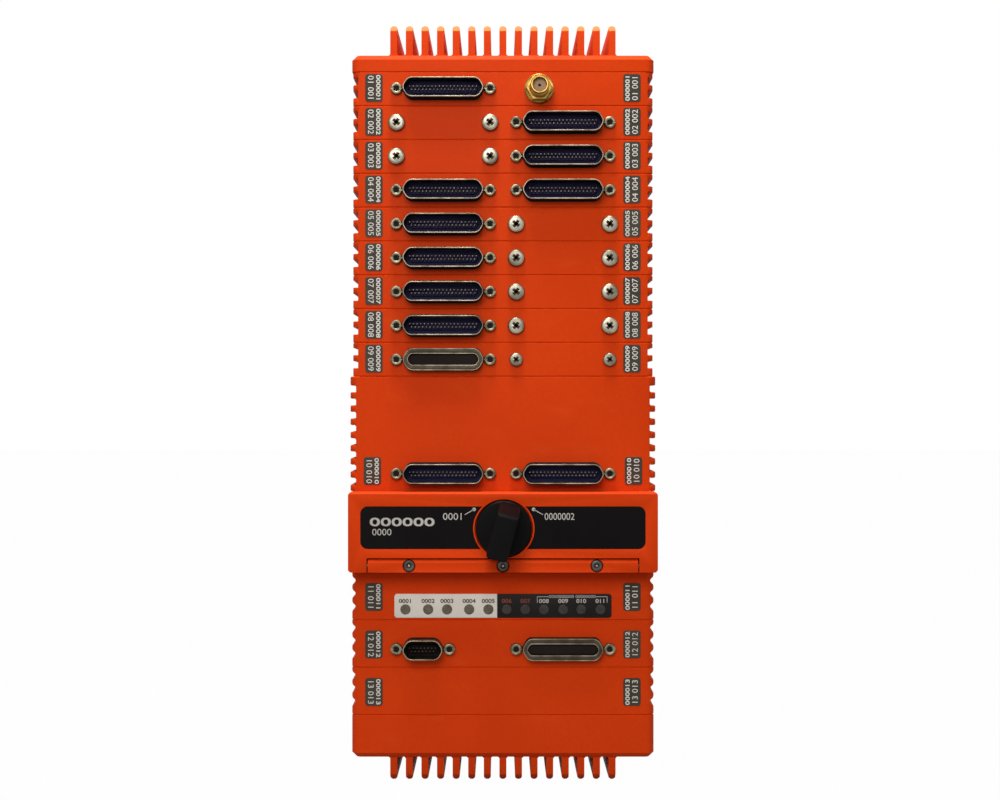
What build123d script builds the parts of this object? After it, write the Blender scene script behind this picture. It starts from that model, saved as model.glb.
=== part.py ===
from build123d import *
from math import pi, sqrt, tan
import os

os.makedirs("parts", exist_ok=True)

# Airborne solid state data recorder, standing upright, in millimetres.
# X runs across the front and Z is up. Shapes are drawn with the modules' front face at Y 0 and their
# rear face at Y body_depth, and are centred on the whole depth, knob included, when they are written.
# "Depth" in the names and comments below is that distance behind the front face.

# Stack of slices, from the bottom up
stack_width = 104.0
processor_overhang = 0.6
interface_inset = 0.35
body_depth = 140.0
front_corner_radius = 3.3
rear_corner_bevel = 1.0
edge_break = 0.3
bottom_fin_height = 8.2
bottom_cover_height = 14.65
lower_height = 16.33
processor_height = 67.4
interface_height = 11.63
interface_count = 9
top_cover_height = 5.9
top_fin_height = 10.7

# Walls of the hollow slices
side_wall = 5.0
front_wall = 3.0
rear_wall = 4.0
floor_thickness = 1.2
corner_window = 9.0

# Cooling grooves along both sides: heights above the slice's foot, mouth and depth
interface_groove_heights = (4.1, 8.6)
interface_groove_mouth = 2.5
interface_groove_depth = 1.85
processor_groove_count = 14
processor_groove_pitch = 4.55
processor_groove_mouth = 2.3
processor_groove_depth = 2.1
processor_top_tooth = 3.1
lower_groove_heights = (4.4, 8.9, 13.35)
lower_groove_mouth = 2.7
lower_groove_depth = 1.3
lower_groove_floor = 1.3

# Cooling fins of the two end covers
fin_count = 15
fin_pitch = 5.38
fin_thickness = 2.4
fin_tip_bevel = 0.7
fin_end_bevel = 2.0
fin_root_bevel = 0.6
fin_inset = 2.0
cover_rim_bevel = 1.6
cover_floor = 3.0

# Tie bolts through the corners of the whole stack
tie_bolt_radius = 2.0
tie_bolt_clearance = 0.2
tie_bolt_side_inset = 7.9
tie_bolt_end_inset = 7.5
tie_bolt_head_radius = 3.5
tie_bolt_head_height = 2.8
tie_bolt_head_sink = 3.0
tie_bolt_head_clearance = 0.4
tie_bolt_grip = 11.0

# Small round pieces that repeat are many-sided bars, which keeps their facets few
post_sides = 10
bolt_sides = 12

# Connector places on the front
left_port_x = -20.5
right_port_x = 20.6
port_width = 28.4
port_height = 6.8
port_end_slope = 0.31
port_corner_cut = 0.7
port_wall = 0.55
port_reach = 4.8
port_fit = 0.2
flange_height = 7.6
flange_thickness = 1.5
flange_end = 2.5
jack_spacing = 32.13
insert_sink = 1.0
insert_rear = 12.4
insert_fit = 0.05
small_port_width = 14.43
small_jack_spacing = 18.16
socket_height = 7.6
socket_reach = 3.0
socket_rim = 1.7
socket_sink = 0.9
jack_radius = 2.05
jack_reach = 1.7
processor_port_height = 34.0
power_port_height = 6.45

# Pan head screws that close the connector places left empty
screw_head_radius = 2.85
small_screw_head_radius = 2.35
screw_head_height = 2.0

# Coaxial jack
coaxial_x = 12.45
coaxial_radius = 3.175
coaxial_shank_radius = 2.95
coaxial_relief = 0.4
coaxial_bore_radius = 2.3
coaxial_reach = 9.5
coaxial_washer_radius = 5.1
coaxial_washer_thickness = 0.9
coaxial_nut_flats = 8.0
coaxial_nut_thickness = 2.2
coaxial_flange_radius = 4.2
coaxial_insulator_sink = 1.9
coaxial_contact_radius = 0.64
coaxial_tail = 4.0
coaxial_fit = 0.02

# Indicator plate and its lights
indicator_plate_width = 74.6
indicator_plate_height = 8.2
indicator_plate_foot = 0.8
indicator_plate_radius = 1.0
indicator_plate_thickness = 0.6
indicator_plate_sink = 0.3
light_radius = 1.8
light_reach = 0.3
light_above_foot = 3.7
light_places = (-33.5, -25.7, -19.2, -11.6, -5.0, 1.3, 7.7, 14.1, 20.7, 26.9, 33.5)

# Memory bay, its cartridge and the door in front of it
bay_side_wall = 11.9
bay_foot = 6.3
bay_height = 19.5
bay_depth = 118.0
bay_shelf = 3.5
cartridge_fit = 0.3
cartridge_front = 8.0
cartridge_bevel = 1.0
cartridge_tab_x = 26.0
cartridge_tab_width = 14.0
cartridge_tab_height = 3.0
cartridge_tab_reach = 4.0
memory_socket_width = 62.0
memory_socket_height = 8.0
memory_socket_length = 9.7
door_foot = 0.7
door_height = 27.3
door_reach = 8.0
door_gap = 0.3
door_corner_radius = 1.2
door_top_bevel = 0.6
door_heel_radius = 2.2
panel_side_margin = 4.2
panel_height = 14.5
panel_above_door_foot = 8.0
panel_radius = 2.5
panel_thickness = 0.5
panel_ring_margin = 0.5

# Hinge along the foot of the door
hinge_axis_sink = 2.2
hinge_knuckle_width = 6.3
hinge_block_height = 4.5
hinge_block_radius = 1.35
hinge_gap = 0.4
hinge_pin_radius = 1.0
hinge_pin_fit = 0.05
hinge_pin_seat = 6.0
hinge_pin_sink = 0.6
hinge_screw_spacing = 31.9
hinge_screw_head_radius = 1.85
hinge_screw_head_height = 2.4
hinge_screw_sink = 0.5
hinge_screw_counterbore = 2.2
hinge_screw_radius = 1.1
hinge_screw_fit = 0.1
hinge_screw_grip = 5.0

# Turn latch in the door
knob_x = 0.3
knob_above_door_foot = 14.95
knob_skirt_radius = 9.45
knob_recess_radius = 9.95
knob_recess_depth = 3.0
knob_skirt_reach = 1.0
knob_reach = 15.0
knob_turn = -15.5
grip_width = 7.2
grip_low_reach = 9.9
grip_high_reach = 8.9
grip_high_lean = 3.5
grip_corner_radius = 1.2
grip_bevel = 0.8
latch_clearance = 0.3
shaft_radius = 3.0
shaft_fit = 0.05
shaft_seat = 8.0
cam_reach = 8.0
cam_root_radius = 4.5
cam_tip_radius = 2.2
cam_thickness = 2.5
nut_flats = 8.0
nut_thickness = 2.0
shaft_tail = 0.5

# Circuit boards and the connectors between them
board_thickness = 1.6
board_height = 3.7
board_ledge = 2.5
board_fit = 0.5
board_inset = 13.0
stacker_width = 58.0
stacker_length = 7.0
stacker_inset = 20.0
stacker_slot_fit = 1.0
converter_width = 24.0
converter_length = 57.0
converter_height = 5.0
converter_spacing = 27.0
filter_can_width = 34.0
filter_can_length = 60.0
filter_can_height = 9.0
filter_can_spacing = 40.0

# Threaded mounting holes in the rear face
rear_hole_radius = 1.65
rear_hole_depth = 8.0
rear_hole_spacing = 72.0
rear_hole_low = 7.6
rear_hole_high = 19.3

# Widths and places that follow the stack
processor_width = stack_width + 2 * processor_overhang
interface_width = stack_width - 2 * interface_inset
bay_width = processor_width - 2 * bay_side_wall
panel_width = processor_width - 2 * panel_side_margin
hinge_block_width = processor_width - 2 * (hinge_knuckle_width + hinge_gap)
tie_bolt_x = stack_width / 2 - tie_bolt_side_inset
small_port_x = left_port_x - (jack_spacing - small_jack_spacing) / 2

# Heights of the slices' feet above the tips of the bottom fins
bottom_cover_z = bottom_fin_height
filter_z = bottom_cover_z + bottom_cover_height
power_z = filter_z + lower_height
indicator_z = power_z + lower_height
processor_z = indicator_z + lower_height
interface_z = processor_z + processor_height
top_cover_z = interface_z + interface_count * interface_height
top_fin_z = top_cover_z + top_cover_height

# Places that several pieces share
front_shift = (door_reach + knob_reach - body_depth) / 2
door_z = processor_z + door_foot
hinge_z = door_z + hinge_block_height / 2
hinge_depth = hinge_axis_sink - door_reach
knob_z = door_z + knob_above_door_foot
bay_z = processor_z + bay_foot
bay_ceiling = bay_z + bay_height
cut_margin = 1.0


def save(node, *pieces):
    """Write one node, whose pieces are separate solids, centred on the whole depth."""
    placed = [Pos(0, front_shift, 0) * piece for piece in pieces]
    shape = placed[0] if len(placed) == 1 else Compound(children=placed)
    export_step(shape, f"parts/{node}.step")


def block(x_low, x_high, near, far, z_low, z_high):
    """Box between two places across, two depths and two heights."""
    size = Box(x_high - x_low, far - near, z_high - z_low)
    return Pos((x_low + x_high) / 2, (near + far) / 2, (z_low + z_high) / 2) * size


def through(outline, near, far):
    """Solid between two depths, of an outline drawn across and upwards."""
    face_plane = Plane(origin=(0, near, 0), x_dir=(1, 0, 0), z_dir=(0, -1, 0))
    return extrude(face_plane * outline, amount=far - near, dir=(0, 1, 0))


def rod(radius, x, z, near, far):
    """Round rod from front to rear."""
    return through(Pos(x, z) * Circle(radius), near, far)


def stud(radius, sides, x, z, near, far):
    """Many-sided bar from front to rear."""
    return through(Pos(x, z) * RegularPolygon(radius, sides), near, far)


def post(radius, x, depth, z_low, z_high):
    """Upright many-sided bar."""
    return extrude(Pos(x, depth, z_low) * RegularPolygon(radius, bolt_sides), z_high - z_low)


def cross_rod(radius, x_low, x_high, depth, z):
    """Round rod across the width."""
    return Pos((x_low + x_high) / 2, depth, z) * Rot(0, 90, 0) * Cylinder(radius, x_high - x_low)


def both_sides(shape):
    """A shape and its mirror image on the other side."""
    return [shape, mirror(shape, about=Plane.YZ)]


def slab(width, foot, height, bevelled_end=None):
    """Full depth slab, its rims finely broken, or well bevelled at one end. Its front uprights are rounded
    in three flats that touch the round, which keeps the facets of the many grooves few."""
    middle_flat = front_corner_radius * (2 - sqrt(2))
    all_flats = front_corner_radius * (1 - tan(pi / 16))
    outline = Rectangle(width, body_depth)
    outline = chamfer(outline.vertices().group_by(Axis.Y)[0], middle_flat)
    flat_ends = outline.vertices().group_by(Axis.Y)
    outline = chamfer(flat_ends[0] + flat_ends[1], all_flats - middle_flat)
    outline = chamfer(outline.vertices().group_by(Axis.Y)[-1], rear_corner_bevel)
    solid = extrude(Pos(0, body_depth / 2, foot) * outline, height)
    for end in (0, -1):
        rim = solid.faces().sort_by(Axis.Z)[end].edges()
        solid = chamfer(rim, cover_rim_bevel if end == bevelled_end else edge_break)
    return solid


def side_groove(width, height, mouth, floor, depth):
    """Pair of cooling grooves along both side walls, centred at one height."""
    side = width / 2
    outline = Polygon(
        (side + cut_margin, -mouth / 2),
        (side + cut_margin, mouth / 2),
        (side, mouth / 2),
        (side - depth, floor / 2),
        (side - depth, -floor / 2),
        (side, -mouth / 2),
        align=None,
    )
    return both_sides(through(Pos(0, height) * outline, -cut_margin, body_depth + cut_margin))


def tie_bolt_places():
    """Across and depth of the four tie bolts."""
    for x in (-tie_bolt_x, tie_bolt_x):
        for depth in (tie_bolt_end_inset, body_depth - tie_bolt_end_inset):
            yield x, depth


def tie_bolt_holes(radius, low, high):
    """Holes on the tie bolts' lines between two heights."""
    return [post(radius, x, depth, low, high) for x, depth in tie_bolt_places()]


def corner_windows(inner, low, high):
    """Square openings in the four corners of a tray's floor, which the tie bolts pass through."""
    windows = []
    for near in (front_wall, body_depth - rear_wall - corner_window):
        window = block(inner - corner_window, inner, near, near + corner_window, low, high)
        windows += both_sides(window)
    return windows


def tray_cavity(width, foot, top):
    """Open topped hollow with a ledge along each side for a circuit board."""
    inner = width / 2 - side_wall
    ledge = inner - board_ledge
    near = front_wall
    far = body_depth - rear_wall
    hollow = block(-inner, inner, near, far, foot + board_height, top + cut_margin)
    hollow += block(-ledge, ledge, near, far, foot + floor_thickness, foot + board_height)
    hollow += corner_windows(inner, foot + floor_thickness, top)
    return hollow


def stacker_slot(foot):
    """Slot in a tray's floor that the stacking connector passes through."""
    half_width = stacker_width / 2 + stacker_slot_fit
    half_length = stacker_length / 2 + stacker_slot_fit
    middle = body_depth - stacker_inset
    return block(-half_width, half_width, middle - half_length, middle + half_length,
                 foot - cut_margin, foot + board_height)


def slice_housing(width, foot, height, groove_heights, mouth, floor, depth):
    """Hollow slice of the stack with its side grooves and the openings in its floor."""
    solid = slab(width, foot, height)
    solid -= tray_cavity(width, foot, foot + height)
    for groove_height in groove_heights:
        solid -= side_groove(width, foot + groove_height, mouth, floor, depth)
    solid -= corner_windows(width / 2 - side_wall, foot - cut_margin, foot + board_height)
    solid -= stacker_slot(foot)
    return solid


def lower_housing(foot):
    """Slice below the processor module, with flared grooves."""
    return slice_housing(stack_width, foot, lower_height, lower_groove_heights, lower_groove_mouth,
                         lower_groove_floor, lower_groove_depth)


def port_outline(width, height, grow=0.0):
    """Flattened six-sided connector outline with its corners cut off, grown outwards all round."""
    half_width = width / 2
    shoulder = half_width - height * port_end_slope
    outline = Polygon(
        (-half_width, 0),
        (-shoulder, -height / 2),
        (shoulder, -height / 2),
        (half_width, 0),
        (shoulder, height / 2),
        (-shoulder, height / 2),
        align=None,
    )
    outline = chamfer(outline.vertices(), port_corner_cut)
    return offset(outline, amount=grow, kind=Kind.INTERSECTION) if grow else outline


class Port:
    """One connector place: its node name, middle, kind and sizes."""

    def __init__(self, name, kind, x, z):
        self.name = name
        self.kind = kind
        self.x = x
        self.z = z
        small = kind == "small pins"
        self.width = small_port_width if small else port_width
        self.jack_spacing = small_jack_spacing if small else jack_spacing
        self.height = socket_height if kind == "sockets" else port_height
        self.reach = socket_reach if kind == "sockets" else port_reach
        self.wall = socket_rim if kind == "sockets" else port_wall

    def at(self, outline):
        """An outline moved to this place."""
        return Pos(self.x, self.z) * outline

    def jacks(self):
        """Across and height of the two jack posts."""
        for side in (-1, 1):
            yield self.x + side * self.jack_spacing / 2, self.z

    def cutout(self):
        """What the front wall loses for the shell."""
        hole = self.at(port_outline(self.width, self.height, port_fit))
        return through(hole, -cut_margin, front_wall + cut_margin)

    def shell(self):
        """Metal shell: a tube through the front wall with a flange behind it."""
        back = front_wall + flange_thickness
        tube = through(self.at(port_outline(self.width, self.height)), -self.reach, front_wall)
        flange_outline = Rectangle(self.jack_spacing + 2 * flange_end, flange_height)
        flange = through(self.at(flange_outline), front_wall, back)
        bore = self.at(port_outline(self.width, self.height, -self.wall))
        return tube + flange - through(bore, -self.reach - cut_margin, back + cut_margin)

    def insert(self):
        """Moulded insert that fills the shell behind its mouth."""
        outline = self.at(port_outline(self.width, self.height, -self.wall - insert_fit))
        near = socket_sink - self.reach if self.kind == "sockets" else insert_sink
        return through(outline, near, insert_rear)


def interface_middle(number):
    """Height of the middle of an interface module, counted from the top."""
    return interface_foot(number) + interface_height / 2


def interface_foot(number):
    """Height of the foot of an interface module, counted from the top."""
    return interface_z + (interface_count - number) * interface_height


# What each interface module carries at its left and right place, from the top module down
interface_fittings = (
    ("pins", "coaxial jack"),
    ("screws", "pins"),
    ("screws", "pins"),
    ("pins", "pins"),
    ("pins", "screws"),
    ("pins", "screws"),
    ("pins", "screws"),
    ("pins", "screws"),
    ("sockets", "small screws"),
)

ports = []
screw_places = []
small_screw_places = []
for number, fittings in enumerate(interface_fittings, start=1):
    for side, x, fitting in zip(("left", "right"), (left_port_x, right_port_x), fittings):
        z = interface_middle(number)
        ends = [(x - jack_spacing / 2, z), (x + jack_spacing / 2, z)]
        if fitting in ("pins", "sockets"):
            ports.append(Port(f"{number}_{side}", fitting, x, z))
        elif fitting == "screws":
            screw_places += ends
        elif fitting == "small screws":
            small_screw_places += ends
ports.append(Port("processor_left", "pins", left_port_x, processor_z + processor_port_height))
ports.append(Port("processor_right", "pins", right_port_x, processor_z + processor_port_height))
ports.append(Port("power_left", "small pins", small_port_x, power_z + power_port_height))
ports.append(Port("power_right", "sockets", right_port_x, power_z + power_port_height))


def front_openings(low, high):
    """Cuts for the connectors whose middles lie between two heights."""
    return [port.cutout() for port in ports if low < port.z < high]


# Nine interface modules
coaxial_z = interface_middle(1)
for number in range(1, interface_count + 1):
    foot = interface_foot(number)
    module = slice_housing(interface_width, foot, interface_height, interface_groove_heights,
                           interface_groove_mouth, interface_groove_mouth, interface_groove_depth)
    module -= front_openings(foot, foot + interface_height)
    if number == 1:
        hole_radius = coaxial_shank_radius + port_fit
        module -= rod(hole_radius, coaxial_x, coaxial_z, -cut_margin, front_wall + cut_margin)
    save(f"interface_module_{number}", module)

# Processor and memory module: a tray above, the memory bay below, solid behind the bay
processor_groove_heights = [
    processor_height - processor_top_tooth - processor_groove_mouth / 2 - step * processor_groove_pitch
    for step in range(processor_groove_count)
]
processor = slab(processor_width, processor_z, processor_height)
tray_foot = bay_ceiling + bay_shelf - floor_thickness
processor -= tray_cavity(processor_width, tray_foot, interface_z)
for groove_height in processor_groove_heights:
    processor -= side_groove(processor_width, processor_z + groove_height, processor_groove_mouth,
                             processor_groove_mouth, processor_groove_depth)
processor -= block(-bay_width / 2, bay_width / 2, -cut_margin, bay_depth, bay_z, bay_ceiling)
tie_bolt_hole_radius = tie_bolt_radius + tie_bolt_clearance
processor -= tie_bolt_holes(tie_bolt_hole_radius, processor_z - cut_margin, tray_foot + board_height)
processor -= front_openings(processor_z, interface_z)
hinge_screw_places = [step * hinge_screw_spacing for step in (-1, 0, 1)]
for x in hinge_screw_places:
    processor -= stud(hinge_screw_radius, bolt_sides, x, hinge_z, -cut_margin, hinge_screw_grip)
rear_hole_places = [(side * rear_hole_spacing / 2, z) for side in (-1, 1)
                    for z in (bottom_cover_z + rear_hole_low, processor_z + rear_hole_high)]
for x, z in rear_hole_places[1::2]:
    processor -= rod(rear_hole_radius, x, z, body_depth - rear_hole_depth, body_depth + cut_margin)
save("processor_housing", processor)

# Indicator module, with a shallow seat for its plate
plate_z = indicator_z + indicator_plate_foot + indicator_plate_height / 2
light_z = indicator_z + light_above_foot
plate_outline = RectangleRounded(indicator_plate_width, indicator_plate_height, indicator_plate_radius)
plate_outline = Pos(0, plate_z) * plate_outline
indicator = lower_housing(indicator_z)
indicator -= through(plate_outline, -cut_margin, indicator_plate_sink)
save("indicator_housing", indicator)

# Power module and filter module
power = lower_housing(power_z)
power -= front_openings(power_z, power_z + lower_height)
save("power_housing", power)
save("filter_housing", lower_housing(filter_z))


def fin_comb(z, height, upward):
    """Row of cooling fins from front to rear, standing on a height or hanging from it."""
    tip = z + height if upward else z - height
    seat = z - edge_break if upward else z + edge_break
    half = fin_thickness / 2
    root = half + fin_root_bevel
    flare = z + fin_root_bevel if upward else z - fin_root_bevel
    shoulder = tip - fin_tip_bevel if upward else tip + fin_tip_bevel
    crest = half - fin_tip_bevel
    right = [(root, seat), (root, z), (half, flare), (half, shoulder), (crest, tip)]
    left = [(-x, level) for x, level in reversed(right)]
    fin = through(Polygon(*right, *left, align=None), fin_inset, body_depth - fin_inset)
    ends = fin.faces().sort_by(Axis.Z)[-1 if upward else 0].edges().filter_by(Axis.X)
    fin = chamfer(ends, fin_end_bevel)
    return [Pos((step - (fin_count - 1) / 2) * fin_pitch, 0, 0) * fin for step in range(fin_count)]


# Top cover with its fins
top_cover = slab(stack_width, top_cover_z, top_cover_height, bevelled_end=-1)
top_cover += fin_comb(top_fin_z, top_fin_height, True)
bolt_head_seat = top_fin_z - tie_bolt_head_sink
head_hole_radius = tie_bolt_head_radius + tie_bolt_head_clearance
top_cover -= tie_bolt_holes(tie_bolt_hole_radius, top_cover_z - cut_margin, top_fin_z)
top_cover -= tie_bolt_holes(head_hole_radius, bolt_head_seat, top_fin_z + cut_margin)
save("top_cover", top_cover)

# Bottom cover: hollow, finned below, threaded for the tie bolts
bottom_cover = slab(stack_width, bottom_cover_z, bottom_cover_height, bevelled_end=0)
bottom_cover += fin_comb(bottom_cover_z, bottom_fin_height, False)
bottom_cover -= block(side_wall - stack_width / 2, stack_width / 2 - side_wall, board_inset,
                      body_depth - board_inset, bottom_cover_z + cover_floor, filter_z + cut_margin)
bottom_cover -= tie_bolt_holes(tie_bolt_radius, filter_z - tie_bolt_grip, filter_z + cut_margin)
for x, z in rear_hole_places[0::2]:
    bottom_cover -= rod(rear_hole_radius, x, z, body_depth - rear_hole_depth, body_depth + cut_margin)
save("bottom_cover", bottom_cover)

# Tie bolts
tie_bolts = []
for x, depth in tie_bolt_places():
    bolt = post(tie_bolt_radius, x, depth, filter_z - tie_bolt_grip, bolt_head_seat)
    bolt += post(tie_bolt_head_radius, x, depth, bolt_head_seat, bolt_head_seat + tie_bolt_head_height)
    tie_bolts.append(bolt)
save("tie_bolts", *tie_bolts)

# Connector shells, inserts, jack posts and blanking screws
for port in ports:
    save(f"port_shell_{port.name}", port.shell())
save("pin_inserts", *[port.insert() for port in ports if port.kind != "sockets"])
save("socket_inserts", *[port.insert() for port in ports if port.kind == "sockets"])
jack_places = [place for port in ports for place in port.jacks()]
save("jack_posts", *[stud(jack_radius, post_sides, x, z, -jack_reach, 0) for x, z in jack_places])
screw_kinds = {
    "blanking_screws": (screw_head_radius, screw_places),
    "small_blanking_screws": (small_screw_head_radius, small_screw_places),
}
for node, (radius, places) in screw_kinds.items():
    save(node, *[stud(radius, post_sides, x, z, -screw_head_height, 0) for x, z in places])

# Coaxial jack: threaded body with a flange inside the wall, washer and nut outside, insulator and contact
mouth = -coaxial_reach
coaxial_back = front_wall + flange_thickness
nut_near = -coaxial_washer_thickness - coaxial_nut_thickness
thread_far = nut_near - coaxial_relief
body = rod(coaxial_radius, coaxial_x, coaxial_z, mouth, thread_far)
body += rod(coaxial_shank_radius, coaxial_x, coaxial_z, thread_far, front_wall)
body += rod(coaxial_flange_radius, coaxial_x, coaxial_z, front_wall, coaxial_back)
body -= rod(coaxial_bore_radius, coaxial_x, coaxial_z, mouth - cut_margin, coaxial_back + cut_margin)
save("coaxial_jack_body", body)
collar = rod(coaxial_shank_radius + coaxial_fit, coaxial_x, coaxial_z, mouth, front_wall)
washer = rod(coaxial_washer_radius, coaxial_x, coaxial_z, -coaxial_washer_thickness, 0) - collar
save("coaxial_washer", washer)
nut_outline = Pos(coaxial_x, coaxial_z) * RegularPolygon(coaxial_nut_flats / 2, 6, major_radius=False)
save("coaxial_nut", through(nut_outline, nut_near, -coaxial_washer_thickness) - collar)
insulator_near = mouth + coaxial_insulator_sink
contact_near = insulator_near + coaxial_insulator_sink
insulator = rod(coaxial_bore_radius - coaxial_fit, coaxial_x, coaxial_z, insulator_near, coaxial_tail)
insulator -= rod(coaxial_contact_radius, coaxial_x, coaxial_z, mouth, coaxial_tail + cut_margin)
save("coaxial_insulator", insulator)
contact_radius = coaxial_contact_radius - coaxial_fit
save("coaxial_contact", rod(contact_radius, coaxial_x, coaxial_z, contact_near, coaxial_tail + cut_margin))

# Indicator plate and lights
plate_front = indicator_plate_sink - indicator_plate_thickness
save("indicator_plate", through(plate_outline, plate_front, indicator_plate_sink))
light_front = plate_front - light_reach
lights = [stud(light_radius, post_sides, x, light_z, light_front, plate_front) for x in light_places]
save("indicator_lights", *lights)

# Memory cartridge with two pull tabs, and the socket behind it
bay_x = bay_width / 2 - cartridge_fit
socket_near = bay_depth - memory_socket_length
cartridge = block(-bay_x, bay_x, cartridge_front, socket_near - cartridge_fit, bay_z,
                  bay_ceiling - cartridge_fit)
cartridge = chamfer(cartridge.faces().sort_by(Axis.Y)[0].edges(), cartridge_bevel)
tab_z = bay_z + (bay_height - cartridge_fit) / 2
for side in (-1, 1):
    tab_x = side * cartridge_tab_x
    cartridge += block(tab_x - cartridge_tab_width / 2, tab_x + cartridge_tab_width / 2,
                       cartridge_front - cartridge_tab_reach, cartridge_front + cartridge_tab_reach,
                       tab_z - cartridge_tab_height / 2, tab_z + cartridge_tab_height / 2)
save("memory_cartridge", cartridge)
save("memory_socket", block(-memory_socket_width / 2, memory_socket_width / 2, socket_near, bay_depth,
                            tab_z - memory_socket_height / 2, tab_z + memory_socket_height / 2))

# Door: notched for the hinge block, recessed for its panel and the knob
hinge_block_end = hinge_block_width / 2
notch_top = door_z + hinge_block_height + hinge_gap
notch_x = hinge_block_end + hinge_gap
door_top = door_z + door_height
door_outline = RectangleRounded(processor_width, door_height, door_corner_radius)
door_outline = Pos(0, door_z + door_height / 2) * door_outline
door_side = Polygon(
    (-door_gap, door_z),
    (-door_gap, door_top),
    (door_top_bevel - door_reach, door_top),
    (-door_reach, door_top - door_top_bevel),
    (-door_reach, door_z),
    align=None,
)
heel = door_side.vertices().group_by(Axis.Y)[0].sort_by(Axis.X)[-1]
door_side = fillet(heel, door_heel_radius)
door = through(door_outline, -door_reach, -door_gap)
door &= extrude(Plane.YZ * door_side, processor_width, both=True)
door -= block(-notch_x, notch_x, -door_reach - cut_margin, cut_margin, door_z - cut_margin, notch_top)
knob_place = Pos(knob_x, knob_z)
panel_z = door_z + panel_above_door_foot + panel_height / 2
panel_outline = Pos(0, panel_z) * RectangleRounded(panel_width, panel_height, panel_radius)
panel_outline -= knob_place * Circle(knob_recess_radius + panel_ring_margin)
door -= through(panel_outline, -door_reach - cut_margin, panel_thickness - door_reach)
recess_floor = knob_recess_depth - door_reach
door -= rod(knob_recess_radius, knob_x, knob_z, -door_reach - cut_margin, recess_floor)
door -= rod(shaft_radius + shaft_fit, knob_x, knob_z, -door_reach, cut_margin)
pin_far = processor_width / 2 - hinge_pin_sink
pin_near = hinge_block_end - hinge_pin_seat
hole_end = processor_width / 2 + cut_margin
pin_hole = cross_rod(hinge_pin_radius + hinge_pin_fit, notch_x - cut_margin, hole_end, hinge_depth, hinge_z)
door -= both_sides(pin_hole)
save("door", door)
save("door_panel", through(panel_outline, -door_reach, panel_thickness - door_reach))

# Hinge block, its pins and its screws
hinge_block = block(-hinge_block_end, hinge_block_end, -door_reach, 0, door_z, door_z + hinge_block_height)
top_front_edge = hinge_block.faces().sort_by(Axis.Y)[0].edges().filter_by(Axis.X).sort_by(Axis.Z)[-1:]
hinge_block = fillet(top_front_edge, hinge_block_radius)
screw_seat = -door_reach + hinge_screw_sink + hinge_screw_head_height
for x in hinge_screw_places:
    hinge_block -= rod(hinge_screw_counterbore, x, hinge_z, -door_reach - cut_margin, screw_seat)
    hole_radius = hinge_screw_radius + hinge_screw_fit
    hinge_block -= stud(hole_radius, bolt_sides, x, hinge_z, -door_reach, cut_margin)
hinge_pins = both_sides(cross_rod(hinge_pin_radius, pin_near, pin_far, hinge_depth, hinge_z))
hinge_block -= hinge_pins
save("hinge_block", hinge_block)
save("hinge_pins", *hinge_pins)
hinge_screws = []
for x in hinge_screw_places:
    screw_head_near = screw_seat - hinge_screw_head_height
    screw = stud(hinge_screw_head_radius, bolt_sides, x, hinge_z, screw_head_near, screw_seat)
    screw += stud(hinge_screw_radius, bolt_sides, x, hinge_z, screw_seat, hinge_screw_grip)
    hinge_screws.append(screw)
save("hinge_screws", *hinge_screws)

# Latch: knob whose bar grip slopes at its upper end, shaft through the door, cam arm and nut behind it
grip_near = -door_reach - knob_reach
skirt_near = -door_reach - knob_skirt_reach
skirt_far = recess_floor - latch_clearance
knob = rod(knob_skirt_radius, knob_x, knob_z, skirt_near, skirt_far)
knob = chamfer(knob.faces().sort_by(Axis.Y)[0].edges(), knob_skirt_reach / 2)
grip_reach = skirt_near - grip_near
grip_outline = RectangleRounded(grip_width, grip_high_reach + grip_low_reach, grip_corner_radius)
grip_outline = Pos(0, (grip_high_reach - grip_low_reach) / 2) * grip_outline
grip_side = Polygon(
    (-grip_low_reach, 0),
    (grip_high_reach, 0),
    (grip_high_reach - grip_high_lean, grip_reach),
    (-grip_low_reach, grip_reach),
    align=None,
)
grip = extrude(grip_outline, grip_reach) & extrude(Plane.YZ * grip_side, grip_width, both=True)
grip = chamfer(grip.faces().sort_by(Axis.Z)[-1].edges(), grip_bevel)
on_skirt = Plane(origin=(knob_x, skirt_near, knob_z), x_dir=(1, 0, 0), z_dir=(0, -1, 0))
knob += on_skirt.location * Rot(0, 0, knob_turn) * grip
shaft_near = skirt_far - shaft_seat
knob -= rod(shaft_radius, knob_x, knob_z, shaft_near, skirt_far + cut_margin)
save("latch_knob", knob)
cam_near = latch_clearance - door_gap
cam_far = cam_near + cam_thickness
nut_far = cam_far + nut_thickness
save("latch_shaft", rod(shaft_radius, knob_x, knob_z, shaft_near, nut_far + shaft_tail))
cam_circles = Circle(cam_root_radius).edges()
cam_circles += (Pos(0, cam_reach - cam_tip_radius) * Circle(cam_tip_radius)).edges()
cam_outline = knob_place * Rot(0, 0, knob_turn) * make_hull(cam_circles)
shaft_hole = rod(shaft_radius, knob_x, knob_z, -door_reach, nut_far + cut_margin)
save("latch_cam", through(cam_outline, cam_near, cam_far) - shaft_hole)
latch_nut_outline = knob_place * RegularPolygon(nut_flats / 2, 6, major_radius=False)
save("latch_nut", through(latch_nut_outline, cam_far, nut_far) - shaft_hole)


def board(width, foot):
    """Circuit board on the ledges of a tray."""
    half_width = width / 2 - side_wall - board_fit
    low = foot + board_height
    return block(-half_width, half_width, board_inset, body_depth - board_inset, low, low + board_thickness)


def stacker(low, high):
    """Stacking connector between the boards of two neighbouring slices."""
    middle = body_depth - stacker_inset
    half_width = stacker_width / 2
    half_length = stacker_length / 2
    return block(-half_width, half_width, middle - half_length, middle + half_length, low, high)


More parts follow.
